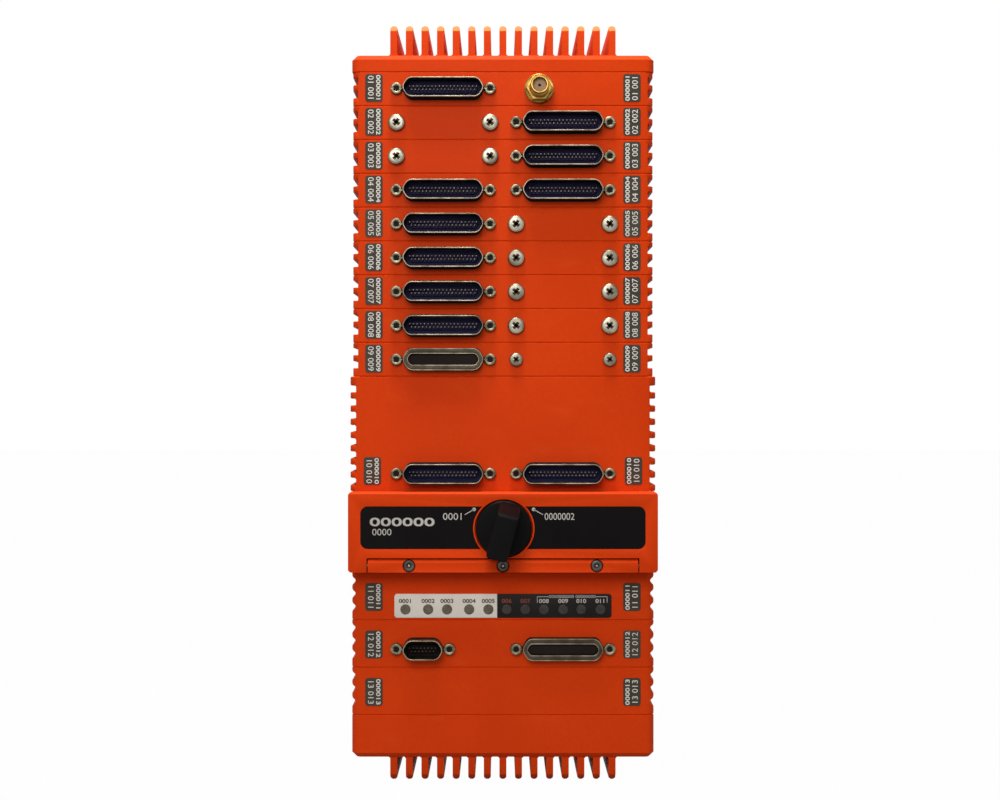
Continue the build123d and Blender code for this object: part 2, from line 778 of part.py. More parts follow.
# Circuit boards, and the stacking connectors from each board to the next one up
interface_feet = [interface_foot(number) for number in range(interface_count, 0, -1)]
board_feet = [filter_z, power_z, indicator_z, tray_foot] + interface_feet
save("interface_boards", *[board(interface_width, foot) for foot in interface_feet])
save("processor_board", board(processor_width, tray_foot))
save("lower_boards", *[board(stack_width, foot) for foot in (filter_z, power_z, indicator_z)])
stackers = []
for lower, upper in zip(board_feet, board_feet[1:]):
    if lower != indicator_z:
        stackers.append(stacker(lower + board_height + board_thickness, upper + board_height))
save("stacking_connectors", *stackers)

# Power converters and filter cans on their boards
converter_low = power_z + board_height + board_thickness
converters = [
    block(x - converter_width / 2, x + converter_width / 2, (body_depth - converter_length) / 2,
          (body_depth + converter_length) / 2, converter_low, converter_low + converter_height)
    for x in (-converter_spacing, 0, converter_spacing)
]
save("power_converters", *converters)
can_low = filter_z + board_height + board_thickness
cans = [
    block(x - filter_can_width / 2, x + filter_can_width / 2, (body_depth - filter_can_length) / 2,
          (body_depth + filter_can_length) / 2, can_low, can_low + filter_can_height)
    for x in (-filter_can_spacing / 2, filter_can_spacing / 2)
]
save("filter_cans", *cans)
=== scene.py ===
from contextlib import contextmanager
from math import pi, radians

import bmesh
import bpy
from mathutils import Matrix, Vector


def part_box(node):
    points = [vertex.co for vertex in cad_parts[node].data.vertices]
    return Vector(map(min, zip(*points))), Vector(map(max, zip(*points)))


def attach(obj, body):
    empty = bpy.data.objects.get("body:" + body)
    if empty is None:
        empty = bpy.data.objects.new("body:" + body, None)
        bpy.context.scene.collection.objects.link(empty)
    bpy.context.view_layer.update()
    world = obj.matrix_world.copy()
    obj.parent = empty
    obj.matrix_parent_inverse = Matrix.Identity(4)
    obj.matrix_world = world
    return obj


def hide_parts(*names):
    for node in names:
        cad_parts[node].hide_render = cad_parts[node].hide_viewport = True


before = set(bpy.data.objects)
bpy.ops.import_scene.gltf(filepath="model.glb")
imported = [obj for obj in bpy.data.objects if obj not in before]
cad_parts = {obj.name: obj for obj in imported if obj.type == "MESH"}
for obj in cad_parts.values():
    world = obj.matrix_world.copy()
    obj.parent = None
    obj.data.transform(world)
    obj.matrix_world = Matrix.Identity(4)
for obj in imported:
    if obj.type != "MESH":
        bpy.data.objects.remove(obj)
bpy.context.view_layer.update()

# Sizes are in metres; mm turns a size in millimetres into metres.
mm = 0.001

# Places: the fronts of modules and door, the two columns of connectors, the tips of the top fins
# that carry a painted highlight, and the line between the white and the black part of the indicator
# overlay
front_y = -58.5 * mm
door_front_y = -66.5 * mm
left_x = -20.5 * mm
right_x = 20.6 * mm
fin_tip_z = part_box("top_cover")[1].z - 2.05 * mm
fin_end_y = -54.4 * mm
divide_x = -2.0 * mm

# Sizes and spacings of the connectors
port_width = 28.4 * mm
port_height = 6.8 * mm
port_reach = 4.8 * mm
small_port_width = 14.43 * mm
socket_height = 7.6 * mm
socket_reach = 3.0 * mm
jack_spacing = 32.13 * mm
small_jack_spacing = 18.16 * mm
shell_back = 3.0 * mm
shell_wall = 0.38 * mm
flank_slope = 0.31
insert_back = 3.4 * mm
insert_margin = 1.2 * mm
contact_pitch = 1.27 * mm
contact_row_gap = 1.1 * mm
contact_radius = 0.27 * mm
contact_tip_y = -2.6 * mm
contact_root_y = 1.6 * mm

# Counts and turns
slice_count = 9
slices = range(1, slice_count + 1)
quarter_turn = pi / 2
cross_turns = (radians(38), radians(128))
facing_front = (quarter_turn, 0, 0)

# Distances within which corners of a new piece, and of a CAD node, lie in one place
same_place = 1e-6
same_cad_place = 2e-6


# Shader maths
class Value:
    """A shader socket that takes part in Python sums, each of which adds a Math node."""

    def __init__(self, finish, socket):
        self.finish = finish
        self.socket = socket

    def sum(self, operation, first, second):
        """Result of a Math node."""
        return self.finish.node("ShaderNodeMath", {"operation": operation}, {0: first, 1: second})

    def __add__(self, other):
        return self.sum("ADD", self, other)

    def __radd__(self, other):
        return self.sum("ADD", other, self)

    def __sub__(self, other):
        return self.sum("SUBTRACT", self, other)

    def __rsub__(self, other):
        return self.sum("SUBTRACT", other, self)

    def __mul__(self, other):
        return self.sum("MULTIPLY", self, other)

    def __rmul__(self, other):
        return self.sum("MULTIPLY", other, self)

    def above(self, level):
        """One where the value is over a level, else nothing."""
        return self.sum("GREATER_THAN", self, level)


class Finish:
    """One procedural material. Patterns follow the object's own coordinates."""

    def __init__(self, name, **constants):
        self.material = bpy.data.materials.new(name)
        self.material.use_nodes = True
        self.tree = self.material.node_tree
        self.shader = self.tree.nodes["Principled BSDF"]
        for socket, value in constants.items():
            self.shader.inputs[socket.replace("_", " ")].default_value = value
        self.place = self.node("ShaderNodeTexCoord", output="Object")

    def node(self, kind, settings=None, inputs=None, output=0):
        """Adds a node, makes its settings, then feeds its sockets with values or links."""
        node = self.tree.nodes.new(kind)
        for name, value in (settings or {}).items():
            setattr(node, name, value)
        for name, value in (inputs or {}).items():
            if isinstance(value, Value):
                self.tree.links.new(value.socket, node.inputs[name])
            else:
                node.inputs[name].default_value = value
        return Value(self, node.outputs[output])

    def noise(self, scale, detail=2.0, stretch=(1.0, 1.0, 1.0)):
        """Soft noise between 0 and 1; the scale is in lumps per metre."""
        place = self.node("ShaderNodeMapping", inputs={"Vector": self.place, "Scale": stretch})
        inputs = {"Vector": place, "Scale": scale, "Detail": detail}
        return self.node("ShaderNodeTexNoise", inputs=inputs)

    def axis(self, name):
        """One of the object's own coordinates."""
        return self.node("ShaderNodeSeparateXYZ", inputs={0: self.place}, output=name)

    def spread(self, value, low, high):
        """A value rescaled so that low gives 0 and high gives 1, and held between them."""
        limits = {"From Min": low, "From Max": high}
        return self.node("ShaderNodeMapRange", inputs={"Value": value, **limits})

    def blend(self, share, first, second):
        """Colour between two colours."""
        inputs = {0: share, 6: first, 7: second}
        return self.node("ShaderNodeMix", {"data_type": "RGBA"}, inputs, output=2)

    def bump(self, height, strength, depth):
        """Normal of a surface with fine relief."""
        inputs = {"Height": height, "Strength": strength, "Distance": depth}
        return self.node("ShaderNodeBump", inputs=inputs)

    def feed(self, **links):
        """Joins varying values to the shader."""
        for socket, value in links.items():
            self.tree.links.new(value.socket, self.shader.inputs[socket.replace("_", " ")])


def linear(*colour):
    """Shader colour of a screen colour given in steps of 255."""
    shares = [step / 255 for step in colour]
    light = [((c + 0.055) / 1.055) ** 2.4 if c > 0.04045 else c / 12.92 for c in shares]
    return (*light, 1.0)


# Finishes
def orange_paint():
    """Orange paint with soft patches, rubs and specks, and a painted highlight on the tips of the top
    fins.
    """
    finish = Finish("orange_paint", Specular_IOR_Level=0.035)
    patches = finish.noise(22, detail=3.0)
    grain = finish.spread(finish.noise(900), 0.25, 0.75)
    rubs = finish.spread(finish.noise(60, detail=5.0, stretch=(1.0, 1.0, 2.5)), 0.60, 0.72)
    specks = finish.spread(finish.noise(2600, detail=1.0), 0.74, 0.78)
    # Painted highlight: the front tips of the top fins turn paler orange, as where the light catches
    # them
    tip_highlight = finish.axis("Z").above(fin_tip_z) * (1 - finish.axis("Y").above(fin_end_y))
    base = finish.blend(finish.spread(patches, 0.3, 0.7), linear(199, 56, 11), linear(208, 61, 12))
    for share, colour in (
        (grain * 0.25, (184, 48, 10)),
        (rubs * 0.10, (224, 88, 34)),
        (specks * 0.35, (120, 34, 14)),
        (tip_highlight * (0.65 + 0.3 * patches), (226, 122, 66)),
    ):
        base = finish.blend(share, base, linear(*colour))
    relief = finish.bump(finish.noise(700), 0.16, 0.06 * mm)
    finish.feed(Base_Color=base, Roughness=0.40 + 0.16 * patches + 0.10 * rubs, Normal=relief)
    return finish.material


def metal(name, colour, worn, roughness, scale=450):
    """Bare or plated metal with fine marks."""
    finish = Finish(name, Metallic=1.0)
    marks = finish.noise(scale, detail=3.0)
    tarnish = finish.spread(finish.noise(scale / 2, detail=3.0), 0.38, 0.62)
    finish.feed(Base_Color=finish.blend(tarnish * 0.85, linear(*colour), linear(*worn)),
                Roughness=roughness + 0.18 * marks,
                Normal=finish.bump(marks, 0.12, 0.02 * mm))
    return finish.material


def moulding(name, colour, tint, roughness, relief, specular):
    """Moulded, painted or printed surface with a fine grain."""
    finish = Finish(name, Specular_IOR_Level=specular)
    grain = finish.noise(1500)
    patches = finish.spread(finish.noise(50, detail=3.0), 0.3, 0.7)
    finish.feed(Base_Color=finish.blend(patches, linear(*colour), linear(*tint)),
                Roughness=roughness + 0.15 * grain,
                Normal=finish.bump(grain, relief, 0.03 * mm))
    return finish.material


def indicator_overlay():
    """Printed overlay: white left of a dividing line, black right of it."""
    finish = Finish("indicator_overlay", Specular_IOR_Level=0.08)
    grain = finish.noise(1800)
    soil = finish.spread(finish.noise(120, detail=4.0), 0.35, 0.75)
    white = finish.blend(soil * 0.35, linear(214, 207, 196), linear(188, 180, 167))
    black = finish.blend(soil * 0.5, linear(24, 22, 20), linear(36, 33, 30))
    right = finish.axis("X").above(divide_x)
    finish.feed(Base_Color=finish.blend(right, white, black),
                Roughness=0.38 + 0.14 * grain,
                Normal=finish.bump(grain, 0.12, 0.02 * mm))
    return finish.material


def light_window():
    """Smoked window of an unlit light, paler on the white part of the overlay."""
    finish = Finish("light_window", Specular_IOR_Level=0.15)
    cloud = finish.spread(finish.noise(700), 0.3, 0.7)
    pale = finish.blend(cloud, linear(84, 77, 65), linear(106, 98, 84))
    dark = finish.blend(cloud, linear(46, 43, 40), linear(60, 56, 52))
    right = finish.axis("X").above(divide_x)
    finish.feed(Base_Color=finish.blend(right, pale, dark), Roughness=0.25 + 0.15 * cloud)
    return finish.material


def circuit_board():
    """Green board with paler tracks."""
    finish = Finish("circuit_board", Specular_IOR_Level=0.5)
    layout = {"Vector": finish.place, "Scale": 60.0, "Mortar Size": 0.03}
    tracks = finish.node("ShaderNodeTexBrick", {"offset": 0.37}, layout, output="Fac")
    finish.feed(Base_Color=finish.blend(tracks, linear(20, 70, 38), linear(52, 112, 62)),
                Roughness=0.35 + 0.2 * finish.noise(1200),
                Normal=finish.bump(tracks, 0.3, 0.05 * mm))
    return finish.material


# Colour, worn colour, roughness and, where it isn't the usual one, the scale of the marks
metals = {
    "nickel": ((136, 127, 107), (82, 74, 59), 0.30),
    "post_nickel": ((136, 127, 104), (72, 66, 52), 0.34, 900),
    "dull_nickel": ((70, 62, 52), (50, 44, 37), 0.42),
    "steel": ((156, 149, 132), (98, 92, 78), 0.28),
    "dark_steel": ((84, 80, 76), (58, 55, 52), 0.34),
    "gold": ((176, 142, 74), (126, 94, 44), 0.28),
    "pin_gold": ((150, 136, 104), (96, 82, 60), 0.35, 2500),
}

# Colour, tint of its patches, roughness, relief of the grain and specular level
mouldings = {
    "black_plate": ((13, 11, 11), (19, 16, 16), 0.42, 0.1, 0.03),
    "label_plate": ((60, 54, 46), (72, 65, 56), 0.45, 0.1, 0.06),
    "black_knob": ((7, 6, 7), (11, 9, 10), 0.40, 0.25, 0.05),
    "insert_navy": ((36, 35, 64), (43, 41, 75), 0.45, 0.2, 0.06),
    "insert_black": ((26, 20, 18), (34, 28, 25), 0.45, 0.2, 0.05),
    "shadow_black": ((26, 24, 22), (34, 31, 28), 0.6, 0.2, 0.05),
    # recess: painted shade for the bottoms of the cross recesses
    "recess": ((58, 51, 40), (44, 38, 30), 0.6, 0.2, 0.1),
    "dielectric": ((168, 138, 108), (150, 120, 92), 0.45, 0.2, 0.2),
    "white_print": ((212, 207, 198), (192, 187, 178), 0.5, 0.05, 0.35),
    "pale_print": ((180, 175, 167), (162, 157, 149), 0.5, 0.05, 0.35),
    "black_print": ((46, 42, 40), (60, 55, 52), 0.5, 0.05, 0.35),
    "red_print": ((126, 50, 32), (108, 42, 27), 0.5, 0.05, 0.35),
    "cartridge": ((38, 38, 42), (50, 50, 54), 0.36, 0.2, 0.5),
    "component": ((46, 46, 49), (58, 58, 60), 0.5, 0.2, 0.35),
}

finishes = {
    "orange_paint": orange_paint(),
    "overlay": indicator_overlay(),
    "light_window": light_window(),
    "board": circuit_board(),
}
for name, look in metals.items():
    finishes[name] = metal(name, *look)
for name, look in mouldings.items():
    finishes[name] = moulding(name, *look)


# Modelling aids
def deselect():
    """Selects nothing."""
    bpy.ops.object.select_all(action="DESELECT")


def choose(*pieces):
    """Selects pieces, the first of them active."""
    deselect()
    for piece in pieces:
        piece.select_set(True)
    bpy.context.view_layer.objects.active = pieces[0]


@contextmanager
def editing(piece):
    """Edit mode on one piece, with nothing in it selected."""
    choose(piece)
    bpy.ops.object.mode_set(mode="EDIT")
    bpy.ops.mesh.select_all(action="DESELECT")
    yield
    bpy.ops.object.mode_set(mode="OBJECT")


def pick(kind, test):
    """Selects the faces, edges or corners that pass a test, in edit mode."""
    bpy.ops.mesh.select_mode(type=kind)
    bpy.ops.mesh.select_all(action="DESELECT")
    mesh = bmesh.from_edit_mesh(bpy.context.object.data)
    mesh.normal_update()
    parts = {"FACE": mesh.faces, "EDGE": mesh.edges, "VERT": mesh.verts}[kind]
    for part in parts:
        if test(part):
            part.select_set(True)
    bmesh.update_edit_mesh(bpy.context.object.data)


def pick_front():
    """Selects the faces that lie foremost."""
    mesh = bmesh.from_edit_mesh(bpy.context.object.data)
    foremost = min(vertex.co.y for vertex in mesh.verts)
    pick("FACE", lambda face: face.calc_center_median().y < foremost + same_place)


def push(y):
    """Extrudes what is selected towards the rear, or with a negative reach to the front."""
    bpy.ops.mesh.extrude_region_move(TRANSFORM_OT_translate={"value": (0, y, 0)})


def stretch(x, z=1.0):
    """Scales what is selected sideways and upwards about the origin."""
    bpy.ops.transform.resize(value=(x, 1.0, z), center_override=(0, 0, 0))


def settle(piece):
    """Puts a piece's place, turn and scale into its mesh."""
    choose(piece)
    bpy.ops.object.transform_apply(location=True, rotation=True, scale=True)
    return piece


def apply(piece, kind, **settings):
    """Adds a modifier and applies it."""
    choose(piece)
    modifier = piece.modifiers.new(kind.lower(), kind)
    for name, value in settings.items():
        setattr(modifier, name, value)
    bpy.ops.object.modifier_apply(modifier=modifier.name)


def smooth(piece, angle=35):
    """Smooth shading, except over edges sharper than an angle."""
    choose(piece)
    bpy.ops.object.shade_smooth_by_angle(angle=radians(angle))


def round_edges(piece, width, segments, angle=30):
    """Rounds all edges that are sharper than an angle."""
    apply(piece, "BEVEL", width=width, segments=segments, limit_method="ANGLE",
          angle_limit=radians(angle))
    smooth(piece)


def cut(piece, cutter):
    """Takes one shape out of another."""
    apply(piece, "BOOLEAN", operation="DIFFERENCE", solver="EXACT", object=cutter)
    bpy.data.objects.remove(cutter)


def close_up(piece):
    """Merges doubles, closes open rims and turns the faces outwards."""
    with editing(piece):
        bpy.ops.mesh.select_all(action="SELECT")
        bpy.ops.mesh.remove_doubles(threshold=same_place)
        bpy.ops.mesh.fill_holes(sides=0)
        bpy.ops.mesh.normals_make_consistent(inside=False)


def copies(piece, places):
    """Copies of a piece at several places, joined into one mesh; the pattern piece goes."""
    twins = []
    for place in places:
        choose(piece)
        bpy.ops.object.duplicate(linked=False)
        bpy.ops.transform.translate(value=place)
        twins.append(bpy.context.object)
    bpy.data.objects.remove(piece)
    choose(*twins)
    bpy.ops.object.join()
    return settle(twins[0])


def finished(piece, name, finish, replaces=(), body="root"):
    """Names a piece, gives it its finish and lets it ride on its body."""
    piece.name = name
    piece.data.name = name
    piece.data.materials.clear()
    piece.data.materials.append(finishes[finish])
    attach(piece, body)
    if replaces:
        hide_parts(*replaces)


def from_cad(node):
    """Copy of a CAD node with its loose triangles joined into whole faces."""
    piece = bpy.data.objects.new(node + "_copy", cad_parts[node].data.copy())
    bpy.context.scene.collection.objects.link(piece)
    choose(piece)
    bpy.ops.mesh.customdata_custom_splitnormals_clear()
    with editing(piece):
        bpy.ops.mesh.select_all(action="SELECT")
        bpy.ops.mesh.remove_doubles(threshold=same_cad_place)
        bpy.ops.mesh.dissolve_limited(angle_limit=radians(0.5))
    return piece


def middle(node):
    """Middle of a CAD node's box."""
    low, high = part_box(node)
    return (low + high) / 2


def cylinder(radius, near, far, sides):
    """Round bar from front to rear on the Y axis."""
    deselect()
    bpy.ops.mesh.primitive_cylinder_add(vertices=sides, radius=radius, depth=far - near,
                                        location=(0, (near + far) / 2, 0), rotation=facing_front)
    return settle(bpy.context.object)


def turned(profile, sides=48):
    """Solid turned about the Y axis, of a closed outline of radii and places in millimetres."""
    mesh = bpy.data.meshes.new("turned")
    around = [(number, (number + 1) % len(profile)) for number in range(len(profile))]
    mesh.from_pydata([(radius * mm, y * mm, 0) for radius, y in profile], around, [])
    piece = bpy.data.objects.new("turned", mesh)
    bpy.context.scene.collection.objects.link(piece)
    with editing(piece):
        bpy.ops.mesh.select_all(action="SELECT")
        bpy.ops.mesh.spin(steps=sides, angle=2 * pi, center=(0, 0, 0), axis=(0, 1, 0))
    close_up(piece)
    return piece


def brick(width, depth, height, place):
    """Box about a place."""
    deselect()
    bpy.ops.mesh.primitive_cube_add(size=1, location=place)
    bpy.context.object.scale = (width, depth, height)
    return settle(bpy.context.object)


def flat(width, height, place):
    """Flat sheet that faces the front."""
    deselect()
    bpy.ops.mesh.primitive_plane_add(size=1, location=place, rotation=facing_front)
    bpy.context.object.scale = (width, height, 1)
    return settle(bpy.context.object)


def plate(width, height, radius, thickness, place=(0, 0, 0)):
    """Plate with round corners; its back lies at the place and it stands out to the front."""
    piece = flat(width, height, place)
    with editing(piece):
        bpy.ops.mesh.select_all(action="SELECT")
        bpy.ops.mesh.bevel(affect="VERTICES", offset=radius, segments=5)
        bpy.ops.mesh.select_all(action="SELECT")
        push(-thickness)
    close_up(piece)
    round_edges(piece, 0.05 * mm, 1)
    return piece


def digits(text, size, place, turn=0.0, *, widen, thickness=0.03 * mm, bold=False):
    """Flat raised digits that face the front; the turn is clockwise. Bold ones are four shifted
    copies, each a thin layer in front of the last."""
    deselect()
    bpy.ops.object.text_add(location=place, rotation=(quarter_turn, turn, 0))
    letters = bpy.context.object
    letters.scale = (widen, 1, 1)
    letters.data.body = text
    letters.data.size = size
    letters.data.align_x = "CENTER"
    letters.data.align_y = "CENTER"
    letters.data.extrude = thickness
    letters.data.resolution_u = 4
    bpy.ops.object.convert(target="MESH")
    piece = settle(bpy.context.object)
    if bold:
        reach = 0.024 * size
        layer = 0.006 * mm
        corners = ((-reach, -reach), (reach, -reach), (-reach, reach), (reach, reach))
        piece = copies(piece, [(x, -number * layer, z) for number, (x, z) in enumerate(corners)])
    return piece


def joined(pieces):
    """Joins pieces into the first of them."""
    choose(*pieces)
    bpy.ops.object.join()
    return pieces[0]


# Housings
def soften_grooves(piece, inner_x, width, segments, hollow_too):
    """Rounds the lips of the side grooves, and their floors' corners too where asked."""
    low_z = min(vertex.co.z for vertex in piece.data.vertices)
    high_z = max(vertex.co.z for vertex in piece.data.vertices)
    rim = 0.5 * mm

    def lip(edge):
        if len(edge.link_faces) != 2 or edge.calc_face_angle(0) < radians(25):
            return False
        place = (edge.verts[0].co + edge.verts[1].co) / 2
        level = abs(edge.verts[0].co.z - edge.verts[1].co.z) < same_place
        inside = low_z + rim < place.z < high_z - rim
        return level and inside and abs(place.x) > inner_x and (edge.is_convex or hollow_too)

    with editing(piece):
        pick("EDGE", lip)
        bpy.ops.mesh.bevel(affect="EDGES", offset=width, segments=segments, clamp_overlap=False)
    smooth(piece)


def make_housings():
    """Module housings with the lips of their side grooves rounded."""
    # Where the lips begin, their rounding and its segments, and whether the floors' corners round too
    thin = (49.7 * mm, 0.12 * mm, 2, False)
    tall = (50.3 * mm, 0.45 * mm, 3, True)
    low = (50.5 * mm, 0.55 * mm, 3, True)
    housings = [(f"interface_module_{number}", f"module_{number}", thin) for number in slices]
    housings.append(("processor_housing", "processor_module", tall))
    housings += [(name + "_housing", name + "_module", low) for name in ("indicator", "power", "filter")]
    for node, name, lips in housings:
        piece = from_cad(node)
        soften_grooves(piece, *lips)
        finished(piece, name, "orange_paint", replaces=[node])


def make_covers():
    """End covers, their fins rounded at the tips and edges."""
    top_fins_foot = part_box("top_cover")[1].z - 10 * mm
    bottom_fins_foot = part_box("bottom_cover")[0].z + 7.5 * mm
    for node, on_fin in (("top_cover", lambda z: z > top_fins_foot),
                         ("bottom_cover", lambda z: z < bottom_fins_foot)):
        piece = from_cad(node)

        def fin_edge(edge):
            if len(edge.link_faces) != 2 or edge.calc_face_angle(0) < radians(20):
                return False
            return edge.is_convex and all(on_fin(vertex.co.z) for vertex in edge.verts)

        with editing(piece):
            pick("EDGE", fin_edge)
            bpy.ops.mesh.bevel(affect="EDGES", offset=0.28 * mm, segments=2, clamp_overlap=False)
        smooth(piece, 40)
        finished(piece, node + "_finned", "orange_paint", replaces=[node])


def make_door():
    """Door and hinge block with their painted edges rounded."""
    for node, body, width in (("door", "door", 0.35 * mm), ("hinge_block", "root", 0.25 * mm)):
        piece = from_cad(node)
        round_edges(piece, width, 3, 28)
        finished(piece, node + "_painted", "orange_paint", replaces=[node],
                 body=body)


# Connectors
def hexagon(width, height, rounding, place_y):
    """Flattened six-sided outline facing the front, its corners rounded."""
    piece = flat(width, height, (0, place_y, 0))
    shoulder = 1 - 2 * height * flank_slope / width
    with editing(piece):
        bpy.ops.mesh.select_all(action="SELECT")
        bpy.ops.mesh.bisect(plane_co=(0, 0, 0), plane_no=(0, 0, 1))
        pick("EDGE", lambda edge: all(abs(vertex.co.z) < same_place for vertex in edge.verts))
        bpy.ops.mesh.dissolve_edges(use_verts=False)
        pick("VERT", lambda corner: abs(corner.co.z) > same_place)
        stretch(x=shoulder)
        bpy.ops.mesh.select_all(action="SELECT")
        bpy.ops.mesh.bevel(affect="VERTICES", offset=rounding, segments=6)
    return piece


def hexagon_ring(width, height, wall, front, back, rounding):
    """Flattened six-sided ring between two depths."""
    piece = hexagon(width, height, rounding, back)

    def rear(face):
        return abs(face.normal.y) > 0.9 and face.calc_center_median().y > back - same_place

    with editing(piece):
        bpy.ops.mesh.select_all(action="SELECT")
        push(front - back)
        bpy.ops.mesh.inset(thickness=wall, depth=0)
        push(back - front)
        pick("FACE", rear)
        bpy.ops.mesh.delete(type="FACE")
        bpy.ops.mesh.select_mode(type="EDGE")
        bpy.ops.mesh.select_non_manifold()
        bpy.ops.mesh.bridge_edge_loops()
        bpy.ops.mesh.select_all(action="SELECT")
        bpy.ops.mesh.normals_make_consistent(inside=False)
    round_edges(piece, 0.1 * mm, 2, 50)
    return piece


def ring_shell(width):
    """Connector shell: a tube with a rolled rim, closed behind its insert."""
    piece = hexagon(width, port_height, 1.4 * mm, shell_back)
    with editing(piece):
        bpy.ops.mesh.select_all(action="SELECT")
        push(-port_reach - shell_back)
        bpy.ops.mesh.inset(thickness=shell_wall, depth=0)
        push(port_reach + 2.0 * mm)
    close_up(piece)
    round_edges(piece, 0.12 * mm, 3, 50)
    return piece


def insert_block(width):
    """Moulding at the bottom of a shell, with a raised island that carries the contacts."""
    piece = hexagon(width, port_height - insert_margin, 0.7 * mm, insert_back)
    with editing(piece):
        bpy.ops.mesh.select_all(action="SELECT")
        push(-2.4 * mm)
        bpy.ops.mesh.inset(thickness=1.5 * mm, depth=0)
        push(-0.9 * mm)
    close_up(piece)
    round_edges(piece, 0.15 * mm, 2, 50)
    return piece


def socket_block():
    """Moulding of a socket connector with a raised face."""
    piece = hexagon(25.0 * mm, 4.3 * mm, 0.85 * mm, insert_back)
    with editing(piece):
        bpy.ops.mesh.select_all(action="SELECT")
        push(-5.0 * mm)
        bpy.ops.mesh.inset(thickness=0.5 * mm, depth=0)
        push(-0.5 * mm)
    close_up(piece)
    smooth(piece)
    return piece


def pin_field(columns):
    """Two staggered rows of round-nosed contacts."""
    rows = []
    for count, z in ((columns, contact_row_gap / 2), (columns - 1, -contact_row_gap / 2)):
        pin = cylinder(contact_radius, contact_tip_y, contact_root_y, 8)
        with editing(pin):
            pick_front()
            bpy.ops.mesh.bevel(affect="EDGES", offset=contact_radius * 0.6, segments=2)
        smooth(pin, 60)
        bpy.ops.transform.translate(value=(-(count - 1) * contact_pitch / 2, 0, z))
        settle(pin)
        apply(pin, "ARRAY", count=count, use_relative_offset=False, use_constant_offset=True,
              constant_offset_displace=(contact_pitch, 0, 0))
        rows.append(pin)
    return joined(rows)


def jack_post():
    """Round jack post with a bored and countersunk end and a screwdriver slot across it."""
    piece = turned([(1.0, 0.3), (1.0, -1.45), (1.25, -1.65), (1.5, -1.7), (1.75, -1.66),
                    (1.95, -1.5), (2.05, -1.2), (2.05, 0.3)], 36)
    cut(piece, brick(5 * mm, 0.7 * mm, 0.5 * mm, (0, -1.7 * mm, 0)))
    smooth(piece, 40)
    return piece


def make_ports():
    """Shells, inserts, contacts and jack posts of all the connectors."""
    shells = [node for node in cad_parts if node.startswith("port_shell_")]
    places = {node: Vector((middle(node).x, front_y, middle(node).z)) for node in shells}
    small = ["port_shell_power_left"]
    sockets = ["port_shell_9_left", "port_shell_power_right"]
    large = [node for node in places if node not in small + sockets]

    def at(nodes, piece):
        """Copies of a piece at the places of some connectors."""
        return copies(piece, [places[node] for node in nodes])

    socket_ring = hexagon_ring(port_width, socket_height, wall=1.65 * mm, front=-socket_reach,
                               back=shell_back, rounding=1.5 * mm)
    for pattern, nodes, finish in (
        (ring_shell(port_width), large, "nickel"),
        (ring_shell(small_port_width), small, "nickel"),
        (socket_ring, sockets, "dull_nickel"),
    ):
        for node in nodes:
            choose(pattern)
            bpy.ops.object.duplicate(linked=False)
            bpy.ops.transform.translate(value=places[node])
            piece = settle(bpy.context.object)
            finished(piece, node.replace("port_", ""), finish, replaces=[node])
        bpy.data.objects.remove(pattern)

    # Painted highlight: brighter nickel lips around the opening and on the outer rim of the socket
    # connectors, where light catches their edges
    lips = hexagon_ring(25.3 * mm, 4.4 * mm, wall=0.3 * mm, front=-socket_reach - 0.15 * mm,
                        back=-1.0 * mm, rounding=0.9 * mm)
    edges = hexagon_ring(port_width, socket_height, wall=0.3 * mm, front=-socket_reach - 0.06 * mm,
                         back=-1.0 * mm, rounding=1.5 * mm)
    finished(at(sockets, joined([lips, edges])), "socket_lips", "nickel")

    # Painted shade: a dark ring on the front around each shell's foot for the gap and the shadow there,
    # and a dark sleeve that paints shade on the outside of the wide shells' feet
    shade_rings = []
    for width, nodes in ((port_width, large + sockets), (small_port_width, small)):
        shade_ring = hexagon_ring(width + 0.6 * mm, port_height + 1.1 * mm, wall=0.7 * mm,
                           front=-0.03 * mm, back=0.3 * mm, rounding=1.5 * mm)
        shade_rings.append(at(nodes, shade_ring))
    shade_sleeve = hexagon_ring(port_width + 0.08 * mm, port_height + 0.08 * mm, wall=0.06 * mm,
                          front=0.5 * mm - port_reach, back=0, rounding=1.42 * mm)
    shade_rings.append(at(large, shade_sleeve))
    finished(joined(shade_rings), "shell_gaps", "shadow_black")

    for name, width, columns, nodes, moulded, plated in (
        ("", port_width, 19, large, "insert_navy", "pin_gold"),
        ("small_", small_port_width, 8, small, "insert_black", "dark_steel"),
    ):
        block = at(nodes, insert_block(width - insert_margin))
        finished(block, name + "pin_blocks", moulded, replaces=["pin_inserts"])
        finished(at(nodes, pin_field(columns)), name + "contact_pins", plated)
    finished(at(sockets, socket_block()), "socket_blocks", "insert_black",
             replaces=["socket_inserts"])

    jacks = []
    for node, place in places.items():
        spacing = small_jack_spacing if node in small else jack_spacing
        jacks += [place + Vector((side * spacing / 2, 0, 0)) for side in (-1, 1)]
    finished(copies(jack_post(), jacks), "jack_posts_slotted", "post_nickel",
             replaces=["jack_posts"])
    # Painted shade: a dark plug in each post's bore stands for the shade inside it
    bore_shade = cylinder(0.98 * mm, -1.3 * mm, 0, 20)
    finished(copies(bore_shade, jacks), "jack_bores", "shadow_black")


# Screws over unused places
def pan_screw(radius, height):
    """Pan head with a cross recess, shaped in shares of its radius and height."""
    piece = cylinder(radius, -height * 0.92, 0.2 * mm, 40)
    with editing(piece):
        pick_front()
        bpy.ops.mesh.bevel(affect="EDGES", offset=radius * 0.42, segments=7, profile=0.62)
        pick_front()
        bpy.ops.mesh.inset(thickness=radius * 0.3, depth=0)
        bpy.ops.transform.translate(value=(0, -height * 0.08, 0))
    for turn in cross_turns:
        cut(piece, cross_bar(radius, -height * 1.4, -height * 0.35, turn))
    round_edges(piece, 0.06 * mm, 2, 50)
    return piece


